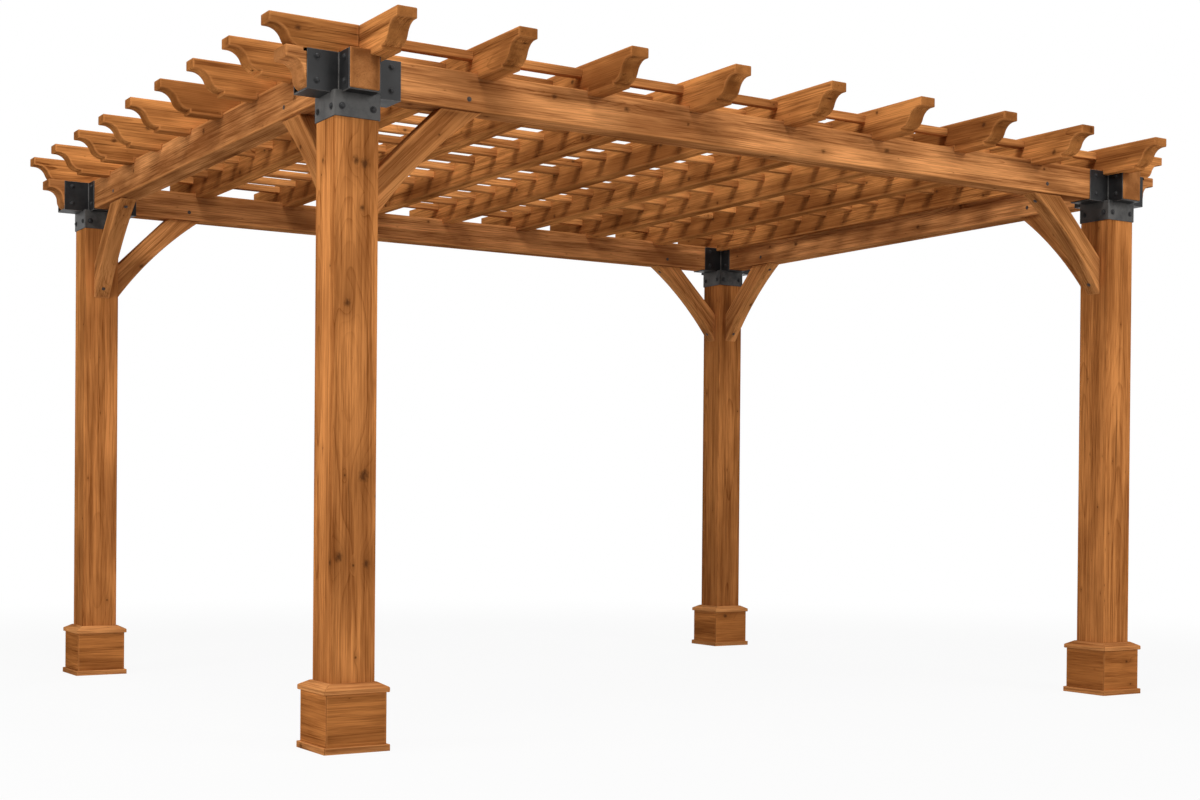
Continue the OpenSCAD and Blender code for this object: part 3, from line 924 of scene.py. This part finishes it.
for quarter, first in enumerate(range(0, len(rafter_nodes) - 1, 2), start=1):
    low, high = map(np.array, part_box("slats_" + str(quarter)))
    half_w = front_row - low[1]
    slats = []
    for bay in (first, first + 1):
        left, right = rafter_boxes[bay][1][0], rafter_boxes[bay + 1][0][0]
        section = np.array([(-half_w, low[2]), (half_w, low[2]),
                            (half_w, high[2]), (-half_w, high[2])])
        marks = np.ones(4) * slat_arris
        solid = carried(section, marks, (right - left) / 2, 0, band=0.004, steps=1)
        for y in np.linspace(front_row, -front_row, slat_rows):
            slats.append(timber(solid, y_axis, z_axis, ((left + right) / 2, y, 0), x_axis))
    fit("cedar_slats_" + str(quarter), slats, slat_cedar_with_painted_light, "cedar_slat", "slats_" + str(quarter))


# ---------------------------------------------------------------- Floor, light and camera
# The stage is a plain pale floor in an even white room. Four soft lamps light it: one on the left,
# one in front, one above and one behind on the right. The camera stands off the left front corner,
# about 0.8 m up.

floor_half = 30.0
floor_grey = 0.6
white_near = 0.92
fade_from = 3.0
fade_to = 7.0
room_level = 0.24
backdrop_level = 1.0
# Each lamp's name, place, the point it looks at, side in metres and level.
lamps = (
    ("left soft box", (-6.0, -1.0, 2.6), (-1.7, -0.3, 1.3), 2.5, 0.67),
    ("front soft box", (3.0, -8.5, 4.0), (1.2, 0.0, 1.3), 4.0, 0.45),
    ("top soft box", (-2.6, -3.0, 6.4), (0.0, -0.4, 1.6), 2.4, 0.63),
    ("back soft box", (5.5, 7.0, 3.4), (0.8, 0.8, 1.3), 4.0, 0.42),
)
camera_place = (-4.0038, -6.4799, 0.7974)
camera_turns = (32.23, -0.45, 0.48)
sensor_mm = 36
lens_mm = 52.29
lens_rise = 0.0946
far_clip = 200

floor = bpy.data.objects.new("floor", bpy.data.meshes.new("floor"))
floor_points = [(x * floor_half, y * floor_half, 0) for x, y in ((-1, -1), (1, -1), (1, 1), (-1, 1))]
floor.data.from_pydata(floor_points, [], [(0, 1, 2, 3)])
bpy.context.collection.objects.link(floor)


def seen_directly(tree):
    """1 for what is seen directly, in a reflection or through glass, and 0 for all other light."""
    rays = add(tree, "ShaderNodeLightPath", {}).outputs
    shown = sum_of(tree, "MAXIMUM", rays["Is Camera Ray"], rays["Is Glossy Ray"])
    return sum_of(tree, "MAXIMUM", shown, rays["Is Transmission Ray"])


white = (1, 1, 1, 1)
white_floor = bpy.data.materials.new("white floor")
white_floor.use_nodes = True
tree = white_floor.node_tree
tree.nodes.clear()
matte = add(tree, "ShaderNodeBsdfDiffuse", {"Color": (floor_grey, floor_grey, floor_grey, 1)})
seen = add(tree, "ShaderNodeEmission", {"Color": white, "Strength": 1.0})
spot = add(tree, "ShaderNodeTexCoord", {}).outputs["Object"]
away = vector_of(tree, "LENGTH", spot)["Value"]
whiteness = ramp(tree, away, fade_from, fade_to, white_near, 1.0)
share = sum_of(tree, "MULTIPLY", seen_directly(tree), whiteness)
mix = add(tree, "ShaderNodeMixShader", {0: share, 1: matte.outputs[0], 2: seen.outputs[0]})
add(tree, "ShaderNodeOutputMaterial", {"Surface": mix.outputs[0]})
floor.data.materials.append(white_floor)

world = bpy.data.worlds.new("studio")
bpy.context.scene.world = world
world.use_nodes = True
tree = world.node_tree
tree.nodes.clear()
room = add(tree, "ShaderNodeBackground", {"Color": white, "Strength": room_level})
backdrop = add(tree, "ShaderNodeBackground", {"Color": white, "Strength": backdrop_level})
feeds = {0: seen_directly(tree), 1: room.outputs[0], 2: backdrop.outputs[0]}
mix = add(tree, "ShaderNodeMixShader", feeds)
add(tree, "ShaderNodeOutputWorld", {"Surface": mix.outputs[0]})


def turned_to(place, ahead, right):
    """A matrix at a place whose -Z looks ahead, with its X to the right."""
    turned = np.eye(4)
    turned[:3, 0] = right
    turned[:3, 1] = np.cross(right, ahead)
    turned[:3, 2] = -ahead
    turned[:3, 3] = place
    return Matrix(turned.tolist())


for name, place, target, side, level in lamps:
    place = np.array(place)
    target = np.array(target)
    reach = np.linalg.norm(target - place)
    lamp_data = bpy.data.lights.new(name, "AREA")
    lamp_data.size = side
    lamp_data.energy = level * np.pi ** 2 * reach ** 2
    lamp = bpy.data.objects.new(name, lamp_data)
    bpy.context.collection.objects.link(lamp)
    lamp.visible_camera = False
    ahead = unit(target - place)
    lamp.matrix_world = turned_to(place, ahead, unit(np.cross(ahead, z_axis)))

camera_data = bpy.data.cameras.new("camera")
camera_data.sensor_width = sensor_mm
camera_data.lens = lens_mm
camera_data.shift_y = lens_rise
camera_data.clip_end = far_clip
camera = bpy.data.objects.new("camera", camera_data)
bpy.context.collection.objects.link(camera)
bpy.context.scene.camera = camera
yaw, pitch, roll = np.radians(camera_turns)
level_right = np.array([np.cos(yaw), -np.sin(yaw), 0])
ahead = np.array([np.cos(pitch) * np.sin(yaw), np.cos(pitch) * np.cos(yaw), np.sin(pitch)])
level_up = np.cross(level_right, ahead)
right = np.cos(roll) * level_right + np.sin(roll) * level_up
camera.matrix_world = turned_to(camera_place, ahead, right)

bpy.context.scene.view_settings.view_transform = "Standard"
